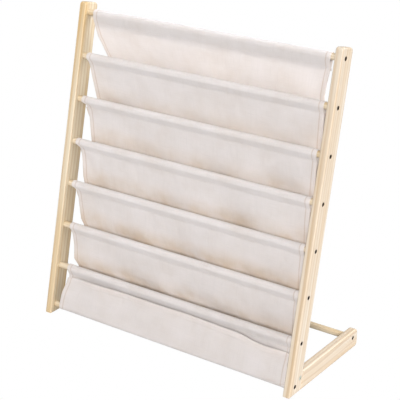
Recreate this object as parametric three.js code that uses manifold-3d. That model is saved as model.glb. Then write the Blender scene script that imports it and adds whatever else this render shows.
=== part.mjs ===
// A sling bookshelf for a child's room: two leaning pine posts on level feet, joined by nine round rods,
// with canvas hung on the front rods as seven book pockets.
// Millimetres, +Z up, the reader stands at -Y. The origin is on the floor, at the middle of the frame.
import * as THREE from 'three';
import { mergeVertices } from 'three/addons/utils/BufferGeometryUtils.js';
import Module from 'manifold-3d';

const wasm = await Module();
wasm.setup();

// Driving dimensions of the frame
const rackWidth = 604;
const rackHeight = 636.6;
const frameDepth = 256;
const battenThickness = 16;
const battenWidth = 38;
const edgeRound = 3;
const leanAngle = THREE.MathUtils.degToRad(13);
const bottomPitch = 85;
const slingCount = 6;
const lowestRodHeight = 16.5;
const rodSetback = 15;
const postTopMargin = 20;
const topCornerRound = 7;
const jointGap = 0.3;

// Rods and the shallow sockets that hold them
const rodDiameter = 13;
const socketDepth = 5;
const rearRodHeight = 23;
const rearRodInset = 18;
const footEndRound = 9;

// Screws through the battens into the ends of the rods
const screwHeadDiameter = 8;
const screwHeadHeight = 2.6;
const screwShankDiameter = 4;
const screwLength = 30;
const screwTipLength = 3;
const screwKeyWidth = 3;
const screwKeyDepth = 1.4;
const screwRecessDepth = 3.2;

// The joint of foot and post: a stud into a barrel nut, and a locating pin below it
const barrelDiameter = 10;
const barrelEndWall = 2.5;
const barrelEdgeDistance = 7.5;
const barrelSinkDepth = 0.5;
const barrelSlotWidth = 1.6;
const barrelSlotDepth = 1.5;
const studDiameter = 6;
const studLength = 52;
const studBelowTop = 11;
const pinDiameter = 6;
const pinLength = 24;
const pinHeight = 9;

// Canvas
const clothThickness = 1.2;
const seamGap = 0.4;
const clothSideGap = 9;
const tunnelPlay = 0.4;
const stitchDrop = 6;
const topStitchDrop = 14.5;
const tunnelHem = 6;
const hemStandOff = 0.4;
const pocketRise = 10;
const pocketBulge = 52;
const hangSetback = 3;
const sideDraw = 6;
const pocketSag = 5;
const hemDrop = 13;
const hemSetback = 14;
const hemCornerDrop = 13;
const hemDip = 8;
const hemDipReach = 45;
const backSag = 6;
const sideSeamReach = 60;
const foldDepth = 3;
const foldSpacing = 260;
const narrowFoldSpacing = 170;

// The side view of a pocket, as shares of its bulge behind the lower rod and of its depth below it
const pocketShares = [[0.52, -0.12], [0.86, 0.24], [1, 0.6], [0.86, 0.9], [0.6, 1], [0.34, 0.82], [0.16, 0.45]];
const hangShare = 0.4;
const foldEndShare = 0.75;
const foldSlantShare = 0.5;
const foldShiftShare = 0.37;
const hemDipShare = 0.8;

// How finely the round and the hanging shapes are faceted
const roundSides = 16;
const screwSides = 10;
const keySides = 6;
const bevelSteps = 2;
const clothColumns = 11;
const tunnelSteps = 7;
const wallSteps = 14;
const panelSteps = 6;
const cutOverrun = 2;

// Finishes
const pine = new THREE.MeshStandardMaterial({ color: '#e9cf9f', roughness: 0.6, metalness: 0 });
const rodWood = new THREE.MeshStandardMaterial({ color: '#e4cda2', roughness: 0.6, metalness: 0 });
const canvas = new THREE.MeshStandardMaterial({ color: '#dfd8d3', roughness: 0.95, metalness: 0 });
const zincSteel = new THREE.MeshStandardMaterial({ color: '#a3a596', roughness: 0.4, metalness: 0.9 });
const darkSteel = new THREE.MeshStandardMaterial({ color: '#3a2c1e', roughness: 0.55, metalness: 0.8 });

// Places on the line of the rods, which leans back by leanAngle
const rise = Math.cos(leanAngle);
const run = Math.sin(leanAngle);
const frontCorner = -frameDepth / 2;
const rearEnd = frameDepth / 2;
const outerFace = rackWidth / 2;
const innerFace = outerFace - battenThickness;
const rodRadius = rodDiameter / 2;
const rodCount = slingCount + 2;
const clothWidth = 2 * (innerFace - clothSideGap);
const rodLineAtFloor = frontCorner + rodSetback / rise;

// The height at the post's front top corner sets how far apart the rods of the slings are
const topRodHeight = rackHeight - rodSetback * run - postTopMargin * rise;
const tierPitch = ((topRodHeight - lowestRodHeight) / rise - bottomPitch) / slingCount;
const pocketDepth = tierPitch - pocketRise;

function onRodLine(height) {
  return new THREE.Vector2(rodLineAtFloor + height * run / rise, height);
}

// Rod 1 is the highest. The two lowest rods are bottomPitch apart, the others tierPitch.
function rodPlace(number) {
  const tiersUp = Math.max(slingCount + 1 - number, 0);
  const along = number === rodCount ? 0 : bottomPitch + tiersUp * tierPitch;
  return onRodLine(lowestRodHeight + along * rise);
}

const rearRodPlace = new THREE.Vector2(rearEnd - rearRodInset, rearRodHeight);
const rearEdgeAtFloor = rodLineAtFloor + (battenWidth - rodSetback) / rise;

function rearEdgeOfPost(height) {
  return rearEdgeAtFloor + height * run / rise;
}

// Solids: a closed mesh with merged corners, joined and cut, and back to a geometry
function solidOf(geometry) {
  const bare = geometry.clone();
  bare.deleteAttribute('normal');
  bare.deleteAttribute('uv');
  const merged = mergeVertices(bare);
  return new wasm.Manifold(new wasm.Mesh({
    numProp: 3,
    vertProperties: new Float32Array(merged.attributes.position.array),
    triVerts: new Uint32Array(merged.index.array),
  }));
}

function geometryOf(solid) {
  const mesh = solid.getMesh();
  const geometry = new THREE.BufferGeometry();
  geometry.setAttribute('position', new THREE.BufferAttribute(mesh.vertProperties, 3));
  geometry.setIndex(new THREE.BufferAttribute(mesh.triVerts, 1));
  geometry.computeVertexNormals();
  return geometry;
}

function cutFrom(geometry, cutters) {
  return geometryOf(cutters.reduce((body, cutter) => body.subtract(solidOf(cutter)), solidOf(geometry)));
}

// A round bar along +X from one x to another, at a place in the side view
function barAlongX(fromX, toX, diameter, place, sides = roundSides) {
  const bar = new THREE.CylinderGeometry(diameter / 2, diameter / 2, toX - fromX, sides);
  bar.rotateZ(-Math.PI / 2);
  return bar.translate((fromX + toX) / 2, place.x, place.y);
}

function barAlongY(fromY, toY, diameter, x, z) {
  const bar = new THREE.CylinderGeometry(diameter / 2, diameter / 2, toY - fromY, roundSides);
  return bar.translate(x, (fromY + toY) / 2, z);
}

// A batten is its side view, drawn in Y and Z, given its thickness along X with rounded long edges
function battenFrom(outline) {
  const slab = new THREE.ExtrudeGeometry(outline, {
    depth: battenThickness - 2 * edgeRound,
    bevelEnabled: true,
    bevelThickness: edgeRound,
    bevelSize: edgeRound,
    bevelOffset: -edgeRound,
    bevelSegments: bevelSteps,
    curveSegments: bevelSteps,
  });
  slab.translate(0, 0, edgeRound - battenThickness / 2);
  const sideView = new THREE.Matrix4().makeBasis(
    new THREE.Vector3(0, 1, 0), new THREE.Vector3(0, 0, 1), new THREE.Vector3(1, 0, 0));
  return slab.applyMatrix4(sideView);
}

// An outline through corners, each sharp or with its own radius
function roundedOutline(corners) {
  const shape = new THREE.Shape();
  corners.forEach(({ at, radius = 0 }, i) => {
    const towards = (other) => at.clone().add(other.at.clone().sub(at).setLength(radius));
    const start = towards(corners.at(i - 1));
    const end = towards(corners[(i + 1) % corners.length]);
    if (i === 0) shape.moveTo(start.x, start.y);
    else shape.lineTo(start.x, start.y);
    if (radius > 0) shape.quadraticCurveTo(at.x, at.y, end.x, end.y);
  });
  shape.closePath();
  return shape;
}

// The post: level at the floor, square across its top end
function postOutline() {
  const top = rodPlace(1);
  const along = new THREE.Vector2(run, rise);
  const forward = new THREE.Vector2(-rise, run);
  const topMiddle = top.clone().addScaledVector(along, postTopMargin);
  const topFront = topMiddle.clone().addScaledVector(forward, rodSetback);
  const topRear = topMiddle.clone().addScaledVector(forward, rodSetback - battenWidth);
  return roundedOutline([
    { at: new THREE.Vector2(frontCorner, 0) },
    { at: new THREE.Vector2(rearEdgeAtFloor, 0) },
    { at: topRear, radius: topCornerRound },
    { at: topFront, radius: topCornerRound },
  ]);
}

// The foot starts well inside the post's place and is then cut back to the post's rear face
function footOutline() {
  return roundedOutline([
    { at: new THREE.Vector2(frontCorner, 0) },
    { at: new THREE.Vector2(rearEnd, 0), radius: footEndRound },
    { at: new THREE.Vector2(rearEnd, battenWidth), radius: footEndRound },
    { at: new THREE.Vector2(frontCorner, battenWidth) },
  ]);
}

function wedgeInFrontOfFoot() {
  const wedge = new THREE.Shape();
  const floorEdge = rearEdgeOfPost(-cutOverrun) + jointGap;
  const topEdge = rearEdgeOfPost(battenWidth + cutOverrun) + jointGap;
  wedge.moveTo(frontCorner - battenWidth, -cutOverrun);
  wedge.lineTo(floorEdge, -cutOverrun);
  wedge.lineTo(topEdge, battenWidth + cutOverrun);
  wedge.lineTo(frontCorner - battenWidth, battenWidth + cutOverrun);
  const block = new THREE.ExtrudeGeometry(wedge, { depth: battenThickness + 2 * cutOverrun, bevelEnabled: false });
  block.translate(0, 0, -battenThickness / 2 - cutOverrun);
  return block.applyMatrix4(new THREE.Matrix4().makeBasis(
    new THREE.Vector3(0, 1, 0), new THREE.Vector3(0, 0, 1), new THREE.Vector3(1, 0, 0)));
}

// Battens are made for the right side about x = 0 and the left ones are the same, with their holes mirrored.
// outward is 1 where the outer face looks to +X.
function rodHoles(place, outward) {
  const outer = outward * battenThickness / 2;
  const inner = -outer;
  const socketEnd = inner + outward * socketDepth;
  const recessEnd = outer - outward * screwRecessDepth;
  const bar = (a, b, diameter, sides) => barAlongX(Math.min(a, b), Math.max(a, b), diameter, place, sides);
  return [
    bar(inner - outward * cutOverrun, socketEnd, rodDiameter + 2 * jointGap),
    bar(recessEnd, outer + outward * cutOverrun, screwHeadDiameter + 2 * jointGap, screwSides),
    bar(inner, outer, screwShankDiameter + 2 * jointGap, screwSides),
  ];
}

const barrelLength = battenThickness - barrelSinkDepth - barrelEndWall;
const studHeight = battenWidth - studBelowTop;
const barrelPlace = new THREE.Vector2(rearEdgeOfPost(studHeight) - barrelEdgeDistance, studHeight);
const studFront = barrelPlace.x - barrelDiameter;
const studRear = studFront + studLength;
const pinMiddle = rearEdgeOfPost(pinHeight) + jointGap / 2;

function jointHoles() {
  return [
    barAlongY(studFront - jointGap, studRear + jointGap, studDiameter + 2 * jointGap, 0, studHeight),
    barAlongY(pinMiddle - pinLength / 2 - jointGap, pinMiddle + pinLength / 2 + jointGap,
      pinDiameter + 2 * jointGap, 0, pinHeight),
  ];
}

function barrelHole(outward) {
  const outer = outward * battenThickness / 2;
  const bottom = outer - outward * (barrelSinkDepth + barrelLength + jointGap);
  return barAlongX(Math.min(bottom, outer + outward * cutOverrun), Math.max(bottom, outer + outward * cutOverrun),
    barrelDiameter + 2 * jointGap, barrelPlace);
}

function postGeometry(outward) {
  const holes = [];
  for (let number = 1; number <= rodCount; number += 1) holes.push(...rodHoles(rodPlace(number), outward));
  return cutFrom(battenFrom(postOutline()), [...holes, ...jointHoles(), barrelHole(outward)]);
}

function footGeometry(outward) {
  return cutFrom(battenFrom(footOutline()),
    [wedgeInFrontOfFoot(), ...rodHoles(rearRodPlace, outward), ...jointHoles()]);
}

// A rod ends in the sockets of both battens and has a pilot hole for a screw in each end
const rodHalfLength = innerFace + socketDepth - jointGap;
const screwSeat = outerFace - screwRecessDepth + jointGap;
const screwTip = screwSeat - screwLength;

function rodGeometry() {
  const axis = new THREE.Vector2();
  const pilot = screwShankDiameter + 2 * jointGap;
  const holes = [1, -1].map((side) => {
    const ends = [side * (screwTip - jointGap), side * (rodHalfLength + cutOverrun)];
    return barAlongX(Math.min(...ends), Math.max(...ends), pilot, axis, screwSides);
  });
  return cutFrom(barAlongX(-rodHalfLength, rodHalfLength, rodDiameter, axis), holes);
}

// The screw stands on its head at the origin, tip down, with a hexagon socket
function screwGeometry() {
  const shank = screwShankDiameter / 2;
  const head = screwHeadDiameter / 2;
  const outline = [
    [0, -screwLength], [shank, screwTipLength - screwLength], [shank, 0], [head, 0],
    [head, screwHeadHeight], [0, screwHeadHeight],
  ].map(([radius, height]) => new THREE.Vector2(radius, height));
  const body = new THREE.LatheGeometry(outline, screwSides);
  const key = new THREE.CylinderGeometry(screwKeyWidth / 2, screwKeyWidth / 2, 2 * screwKeyDepth, keySides);
  return cutFrom(body, [key.translate(0, screwHeadHeight, 0)]);
}

function barrelGeometry(outward) {
  const outer = barrelLength / 2;
  const body = barAlongX(-outer, outer, barrelDiameter, new THREE.Vector2());
  const slot = new THREE.BoxGeometry(2 * barrelSlotDepth, barrelSlotWidth, barrelDiameter + cutOverrun);
  slot.translate(outward * outer, 0, 0);
  const studX = outward * (outer + barrelSinkDepth - battenThickness / 2);
  const cross = barAlongY(-barrelDiameter, barrelDiameter, studDiameter + 2 * jointGap, studX, 0);
  return cutFrom(body, [slot, cross]);
}

// Canvas panels. Every panel is a sheet that follows a path in the side view, one path for each column across
// the width, with clothThickness laid half on each side of it. A path point is [x, y, z].
const halfCloth = clothWidth / 2;
const columnPlaces = Array.from({ length: clothColumns + 1 }, (_, i) => -halfCloth + clothWidth * i / clothColumns);
const tunnelRadius = rodRadius + tunnelPlay + clothThickness / 2;
const layerStep = clothThickness + seamGap;
const lowestRod = rodPlace(rodCount);
const bottomPocketRod = rodPlace(slingCount + 1);

function sheetGeometry(pathAt) {
  const paths = columnPlaces.map(pathAt);
  const count = paths[0].length;
  const lastStep = count - 1;
  const lastColumn = clothColumns;
  const positions = [];
  for (const path of paths) {
    path.forEach(([x, y, z], step) => {
      const before = path[Math.max(step - 1, 0)];
      const after = path[Math.min(step + 1, lastStep)];
      const along = new THREE.Vector2(after[1] - before[1], after[2] - before[2]).normalize();
      for (const side of [-0.5, 0.5]) {
        const shift = side * clothThickness;
        positions.push(x, y - along.y * shift, z + along.x * shift);
      }
    });
  }
  const corner = (column, step, side) => (column * count + step) * 2 + side;
  const faces = [];
  const quad = (a, b, c, d) => faces.push(a, b, c, a, c, d);
  for (let i = 0; i < lastColumn; i += 1) {
    for (let j = 0; j < lastStep; j += 1) {
      quad(corner(i, j, 0), corner(i, j + 1, 0), corner(i + 1, j + 1, 0), corner(i + 1, j, 0));
      quad(corner(i, j, 1), corner(i + 1, j, 1), corner(i + 1, j + 1, 1), corner(i, j + 1, 1));
    }
    quad(corner(i, 0, 0), corner(i + 1, 0, 0), corner(i + 1, 0, 1), corner(i, 0, 1));
    quad(corner(i, lastStep, 0), corner(i, lastStep, 1), corner(i + 1, lastStep, 1), corner(i + 1, lastStep, 0));
  }
  for (let j = 0; j < lastStep; j += 1) {
    quad(corner(0, j, 0), corner(0, j, 1), corner(0, j + 1, 1), corner(0, j + 1, 0));
    quad(corner(lastColumn, j, 0), corner(lastColumn, j + 1, 0),
      corner(lastColumn, j + 1, 1), corner(lastColumn, j, 1));
  }
  const geometry = new THREE.BufferGeometry();
  geometry.setAttribute('position', new THREE.Float32BufferAttribute(positions, 3));
  geometry.setIndex(faces);
  geometry.computeVertexNormals();
  return geometry;
}

// Where a straight line from a point touches the cloth's middle line round a rod, as an angle about the rod
function touchAngle(rod, point, turn) {
  const away = point.clone().sub(rod);
  return away.angle() + turn * Math.acos(tunnelRadius / away.length());
}

function onTunnel(rod, angle) {
  return new THREE.Vector2(rod.x + tunnelRadius * Math.cos(angle), rod.y + tunnelRadius * Math.sin(angle));
}

// The cloth lies on the rod between two straight stretches: turn is 1 over the rod from behind, -1 below it
function aroundRod(rod, entry, exit, turn) {
  const first = touchAngle(rod, entry, turn);
  const last = touchAngle(rod, exit, -turn);
  const sweep = turn * THREE.MathUtils.euclideanModulo(turn * (last - first), 2 * Math.PI);
  return Array.from({ length: tunnelSteps + 1 }, (_, i) => onTunnel(rod, first + sweep * i / tunnelSteps));
}

// The stitch line of a hanging panel is drop below the underside of its rod
function stitchLine(rod, drop) {
  return new THREE.Vector2(rod.x - layerStep / 2, rod.y - rodRadius - drop);
}

// The tunnel of a hanging panel: a short hem behind, over the rod, and down in front to the stitch line.
// The hem hangs back with the wall in front of it: lean is how far back that goes for each millimetre down.
function tunnelOver(rod, drop, lean) {
  const inFront = stitchLine(rod, drop);
  const behind = new THREE.Vector2(rod.x + layerStep / 2, inFront.y);
  const hemEnd = new THREE.Vector2(behind.x + hemStandOff + lean * tunnelHem, behind.y - tunnelHem);
  return [hemEnd, behind, ...aroundRod(rod, behind, inFront, 1), inFront];
}

// Soft folds run slantwise down the wall of a pocket and die out at its stitch line and in its belly
function foldAt(number, x, share) {
  const envelope = Math.sin(Math.PI * Math.min(share / foldEndShare, 1));
  const wide = Math.cos(2 * Math.PI * (x / foldSpacing + foldSlantShare * share + number * foldShiftShare));
  const narrow = Math.cos(2 * Math.PI * (x / narrowFoldSpacing - foldSlantShare * share - number * foldShiftShare));
  return foldDepth * envelope * (wide + narrow) / 2;
}

// A sling hangs from the stitch line of its own tunnel, bellies out behind the next rod down, and comes up
// to be sewn behind that rod's tunnel.
function slingPath(number, x) {
  const upper = rodPlace(number);
  const lower = rodPlace(number + 1);
  const depth = pocketDepth + pocketSag * Math.cos(Math.PI * x / clothWidth);
  const drop = number === 1 ? topStitchDrop : stitchDrop;
  const start = stitchLine(upper, drop);
  const hang = new THREE.Vector2(start.x + hangSetback, THREE.MathUtils.lerp(start.y, lower.y, hangShare));
  const tunnel = tunnelOver(upper, drop, hangSetback / (start.y - hang.y));
  const sewnEnd = new THREE.Vector2(lower.x + 2 * layerStep, lower.y - rodRadius - stitchDrop - seamGap);
  const wall = new THREE.SplineCurve([
    start,
    hang,
    ...pocketShares.map(([back, down]) => new THREE.Vector2(lower.x + back * pocketBulge, lower.y - down * depth)),
    sewnEnd,
  ]).getSpacedPoints(wallSteps);
  const hanging = wall.slice(1).map((point, i) => {
    const share = (i + 1) / wallSteps;
    const drawn = x * (1 - sideDraw / halfCloth * Math.sin(Math.PI * share));
    return [drawn, point.x - foldAt(number, x, share), point.y];
  });
  return [...tunnel.map((point) => [x, point.x, point.y]), ...hanging];
}

// The lowest pocket: its front is a panel from below the lowest rod straight up to a free hem
const hemHeight = bottomPocketRod.y - hemDrop;
const hemDipPlace = hemDipShare * halfCloth;
const frontTop = onRodLine(hemHeight).add(new THREE.Vector2(-hemSetback, 0));
const frontFoot = onTunnel(lowestRod, touchAngle(lowestRod, frontTop, 1));

function frontPlaneAt(height) {
  const share = (height - frontFoot.y) / (frontTop.y - frontFoot.y);
  return THREE.MathUtils.lerp(frontFoot.x, frontTop.x, share);
}

const stitchHeight = lowestRod.y + rodRadius + stitchDrop;
const frontStitch = new THREE.Vector2(frontPlaneAt(stitchHeight) + layerStep, stitchHeight);
const backTop = stitchLine(bottomPocketRod, stitchDrop);
const backFootHeight = stitchHeight + layerStep;

// 0 in the middle of the cloth, 1 at its side seams
function sideShareAt(x) {
  return THREE.MathUtils.smoothstep(Math.abs(x), halfCloth - sideSeamReach, halfCloth);
}

function backPanelAt(x, height) {
  const share = (backTop.y - height) / (backTop.y - backFootHeight);
  const straight = THREE.MathUtils.lerp(backTop.x, frontPlaneAt(backFootHeight) + 2 * layerStep, share);
  const sag = backSag * Math.sin(Math.PI * THREE.MathUtils.clamp(share, 0, 1));
  return straight + sag * (1 - sideShareAt(x) / 2);
}

function bottomBackPath(x) {
  const wall = Array.from({ length: panelSteps }, (_, i) => {
    const height = THREE.MathUtils.lerp(backTop.y, backFootHeight, (i + 1) / panelSteps);
    return [x, backPanelAt(x, height), height];
  });
  const tunnel = tunnelOver(bottomPocketRod, stitchDrop, 0);
  return [...tunnel.map((point) => [x, point.x, point.y]), ...wall];
}

function frontPanelPath(x) {
  const dip = hemDip * Math.exp(-(((x - hemDipPlace) / hemDipReach) ** 2));
  const hemTop = hemHeight - Math.max(dip, hemCornerDrop * sideShareAt(x));
  const hemEnd = new THREE.Vector2(frontPlaneAt(stitchHeight + tunnelHem) + layerStep, stitchHeight + tunnelHem);
  const tunnel = [hemEnd, frontStitch, ...aroundRod(lowestRod, frontStitch, frontTop, -1)];
  const wall = Array.from({ length: panelSteps }, (_, i) => {
    const height = THREE.MathUtils.lerp(frontFoot.y, hemTop, (i + 1) / panelSteps);
    const seamed = backPanelAt(x, height) - layerStep;
    const share = sideShareAt(x) * THREE.MathUtils.smoothstep(height, hemEnd.y, backTop.y - tunnelHem);
    return [x, THREE.MathUtils.lerp(frontPlaneAt(height), seamed, share), height];
  });
  return [...tunnel.map((point) => [x, point.x, point.y]), ...wall];
}

// The pieces, by name
const bookshelf = new THREE.Group();

function addPiece(name, geometry, material, x = 0, y = 0, z = 0) {
  const piece = new THREE.Mesh(geometry, material);
  piece.name = name;
  piece.position.set(x, y, z);
  bookshelf.add(piece);
  return piece;
}

// Everything of one side: outward is 1 on the right, -1 on the left
function addSide(side, outward) {
  const battenMiddle = outward * (outerFace - battenThickness / 2);
  addPiece(`${side}_post`, postGeometry(outward), pine, battenMiddle);
  addPiece(`${side}_foot`, footGeometry(outward), pine, battenMiddle);

  const barrelMiddle = outward * (outerFace - barrelSinkDepth - barrelLength / 2);
  addPiece(`${side}_barrel_nut`, barrelGeometry(outward), zincSteel, barrelMiddle, barrelPlace.x, barrelPlace.y);
  const stud = barAlongY(0, studLength, studDiameter, 0, 0);
  addPiece(`${side}_foot_stud`, stud, zincSteel, battenMiddle, studFront, studHeight);
  const pin = barAlongY(-pinLength / 2, pinLength / 2, pinDiameter, 0, 0);
  addPiece(`${side}_locating_pin`, pin, rodWood, battenMiddle, pinMiddle, pinHeight);

  const screw = screwGeometry().rotateZ(-outward * Math.PI / 2);
  for (let number = 1; number <= rodCount; number += 1) {
    const place = rodPlace(number);
    addPiece(`${side}_screw_${number}`, screw, darkSteel, outward * screwSeat, place.x, place.y);
  }
  addPiece(`${side}_rear_screw`, screw, darkSteel, outward * screwSeat, rearRodPlace.x, rearRodPlace.y);
}

addSide('left', -1);
addSide('right', 1);

for (let number = 1; number <= rodCount; number += 1) {
  const place = rodPlace(number);
  addPiece(`rod_${number}`, rodGeometry(), rodWood, 0, place.x, place.y);
}
addPiece('rear_rod', rodGeometry(), rodWood, 0, rearRodPlace.x, rearRodPlace.y);

for (let number = 1; number <= slingCount; number += 1) {
  addPiece(`sling_${number}`, sheetGeometry((x) => slingPath(number, x)), canvas);
}
addPiece('bottom_back_panel', sheetGeometry(bottomBackPath), canvas);
addPiece('front_pocket_panel', sheetGeometry(frontPanelPath), canvas);

export default bookshelf;
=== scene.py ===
# A sling bookshelf for a child's room: two leaning pine posts on feet, round rods, and pockets of natural
# canvas. The scene is in metres, +Z up, with the reader at -Y. Lengths in the dictionaries are millimetres.
import math
import bpy
import numpy as np
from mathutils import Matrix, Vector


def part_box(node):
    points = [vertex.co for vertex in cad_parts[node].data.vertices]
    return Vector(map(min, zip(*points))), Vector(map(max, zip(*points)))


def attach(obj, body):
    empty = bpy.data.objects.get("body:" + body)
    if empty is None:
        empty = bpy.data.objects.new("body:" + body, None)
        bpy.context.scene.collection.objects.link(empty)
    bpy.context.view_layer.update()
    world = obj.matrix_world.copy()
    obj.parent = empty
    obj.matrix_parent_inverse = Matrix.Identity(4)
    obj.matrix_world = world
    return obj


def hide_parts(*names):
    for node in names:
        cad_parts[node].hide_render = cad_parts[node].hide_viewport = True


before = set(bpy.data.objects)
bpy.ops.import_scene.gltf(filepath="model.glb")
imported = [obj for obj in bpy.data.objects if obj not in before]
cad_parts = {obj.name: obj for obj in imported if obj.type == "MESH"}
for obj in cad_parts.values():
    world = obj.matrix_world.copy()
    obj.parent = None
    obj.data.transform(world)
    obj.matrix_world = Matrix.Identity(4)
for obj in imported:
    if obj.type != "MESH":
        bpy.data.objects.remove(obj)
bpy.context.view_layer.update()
mm = 0.001
print("frame loaded")


# The middle of a node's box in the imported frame
def middleOf(node):
    low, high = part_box(node)
    return np.array((low + high) / 2)


rodNumbers = range(1, 9)
rodPlaces = {number: middleOf(f"rod_{number}")[1:] for number in rodNumbers}
rearRodPlace = middleOf("rear_rod")[1:]
leanAngle = math.atan2(*(rodPlaces[1] - rodPlaces[8]))
outerFace = round(float(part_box("right_post")[1][0]), 6)
sides = {"left": -1, "right": 1}


# sRGB hex to the linear colour that Blender's sockets take
def linear(hexColour):
    parts = [int(hexColour[i:i + 2], 16) / 255 for i in (1, 3, 5)]
    return [c / 12.92 if c <= 0.04045 else ((c + 0.055) / 1.055) ** 2.4 for c in parts] + [1.0]


# A mesh from an array of points in metres and a list of faces. Its object stays at the origin.
def addPiece(name, points, faces, material, slot, uv=None, sharpFrom=40):
    mesh = bpy.data.meshes.new(name)
    mesh.from_pydata(points.tolist(), [], faces)
    if uv is not None:
        corners = np.empty(len(mesh.loops), int)
        mesh.loops.foreach_get("vertex_index", corners)
        mesh.uv_layers.new(name="cut").data.foreach_set("uv", uv[corners].ravel())
    mesh.polygons.foreach_set("use_smooth", np.ones(len(mesh.polygons), bool))
    mesh.set_sharp_from_angle(angle=math.radians(sharpFrom))
    mesh.materials.append(material)
    piece = bpy.data.objects.new(name, mesh)
    bpy.context.scene.collection.objects.link(piece)
    if slot:
        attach(piece, "root")
    return piece


# Four-cornered faces between the neighbouring rows and columns of a grid of points
def gridFaces(rows, columns, closed=False):
    i, j = np.meshgrid(np.arange(rows - 1), np.arange(columns if closed else columns - 1), indexing="ij")
    a, b = i * columns + j, i * columns + (j + 1) % columns
    return np.stack([a, b, b + columns, a + columns], -1).reshape(-1, 4).tolist()


# 0 below low, 1 above high, and an even S between them
def smoothStep(value, low, high):
    share = np.clip((value - low) / (high - low), 0, 1)
    return share * share * (3 - 2 * share)


# 1 from the end of a rise to the start of a fall, and 0 beyond them
def window(value, rise, fall):
    return smoothStep(value, *rise) * (1 - smoothStep(value, *fall))


def unit(vectors):
    return vectors / np.linalg.norm(vectors, axis=-1, keepdims=True)


# A profile of (x, radius) pairs carried round an axis along X through a place in the side view. It starts and
# ends on the axis, and outward -1 mirrors it to the left side. Rows in hexRows have a six-sided outline in
# place of a round one: their radius is the flat's distance over the cosine of the angle from the nearest
# flat's middle.
def turned(profile, count, place, outward=1, hexRows=None):
    profile = np.array(profile, float)
    angle = np.arange(count) * 2 * math.pi / count
    ring = profile[1:-1]
    radius = np.repeat(ring[:, 1:2], count, 1)
    if hexRows:
        fromFlat = (angle + math.pi / 6) % (math.pi / 3) - math.pi / 6
        radius[hexRows] = radius[hexRows] / np.cos(fromFlat)
    body = np.stack([np.repeat(ring[:, 0:1], count, 1), radius * np.cos(angle), radius * np.sin(angle)], -1)
    ends = [[profile[0, 0], 0, 0], [profile[-1, 0], 0, 0]]
    points = np.concatenate([body.reshape(-1, 3), ends]) * [outward, 1, 1] + [0, *place]
    first, last = len(points) - 2, len(points) - 1
    lastRow = (len(ring) - 1) * count
    faces = gridFaces(len(ring), count, closed=True)
    faces += [[first, (j + 1) % count, j] for j in range(count)]
    faces += [[last, lastRow + j, lastRow + (j + 1) % count] for j in range(count)]
    if outward < 0:
        faces = [face[::-1] for face in faces]
    return points, faces


# Several (points, faces) pairs as one pair
def joined(parts):
    points, faces, start = [], [], 0
    for somePoints, someFaces in parts:
        points.append(somePoints)
        faces += [[corner + start for corner in face] for face in someFaces]
        start += len(somePoints)
    return np.concatenate(points), faces


# Puts the piece's modifiers into its mesh
def applied(piece):
    shaped = bpy.data.meshes.new_from_object(piece.evaluated_get(bpy.context.evaluated_depsgraph_get()))
    old = piece.data
    piece.modifiers.clear()
    piece.data = shaped
    bpy.data.meshes.remove(old)


# Cuts closed shapes out of a piece
def carve(piece, parts):
    points, faces = joined(parts)
    cutter = addPiece("cutter", points, faces, piece.data.materials[0], None)
    cut = piece.modifiers.new("cut", "BOOLEAN")
    cut.operation, cut.solver, cut.object = "DIFFERENCE", "EXACT", cutter
    applied(piece)
    bpy.data.meshes.remove(cutter.data)


# Materials. Wave textures at scale 1 have their bands this many metres apart.
waveRepeat = 0.314


def newMaterial(name):
    material = bpy.data.materials.new(name)
    material.use_nodes = True
    tree = material.node_tree
    return material, tree, tree.nodes["Principled BSDF"]


# Gives a node's sockets their values and their sources
def plug(tree, made, sets=None, links=None):
    for key, value in (sets or {}).items():
        made.inputs[key].default_value = value
    for key, source in (links or {}).items():
        tree.links.new(source, made.inputs[key])


# Adds a node. The settings are its own choices.
def node(tree, kind, sets=None, links=None, **settings):
    made = tree.nodes.new("ShaderNode" + kind)
    for key, value in settings.items():
        setattr(made, key, value)
    plug(tree, made, sets, links)
    return made


# A colour ramp through stops, which are pairs of a place and a colour
def ramp(tree, factor, *stops):
    made = node(tree, "ValToRGB", links={"Fac": factor})
    while len(made.color_ramp.elements) < len(stops):
        made.color_ramp.elements.new(0.5)
    for index, (place, colour) in enumerate(stops):
        element = made.color_ramp.elements[index]
        element.position = place
        element.color = linear(colour) if isinstance(colour, str) else [colour] * 3 + [1.0]
    return made.outputs[0]


def maths(tree, operation, links, sets=None):
    return node(tree, "Math", sets, links, operation=operation).outputs[0]


def multiplied(tree, sets, links):
    return node(tree, "Mix", sets, links, data_type="RGBA", blend_type="MULTIPLY").outputs[2]


# A place measured in sizes along its three axes, in mm
def sized(tree, place, *sizes):
    return node(tree, "Mapping", {"Scale": [1 / (size * mm) for size in sizes]}, {"Vector": place}).outputs[0]


# A noise of a size in mm, or of the size 1 of the place it is given
def noise(tree, place, detail=2.0, roughness=0.5, size=1 / mm):
    return node(tree, "TexNoise", {"Scale": 1 / (size * mm), "Detail": detail, "Roughness": roughness},
                {"Vector": place}).outputs


# A place that wanders by reach with the colour of a noise
def wandered(tree, place, colour, reach):
    centred = node(tree, "VectorMath", {1: (0.5, 0.5, 0.5)}, {0: colour}, operation="SUBTRACT").outputs[0]
    drift = node(tree, "VectorMath", {1: reach}, {0: centred}, operation="MULTIPLY").outputs[0]
    return node(tree, "VectorMath", links={0: place, 1: drift}, operation="ADD").outputs[0]


# Bands that are spacing mm apart
def bands(tree, place, spacing, distortion=0.0, **settings):
    return node(tree, "TexWave", {"Scale": waveRepeat / (spacing * mm), "Distortion": distortion},
                {"Vector": place}, **settings).outputs["Fac"]


def bump(tree, height, strength, distance):
    values = {"Strength": strength, "Distance": distance * mm}
    return node(tree, "Bump", values, {"Height": height}).outputs[0]


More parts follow.
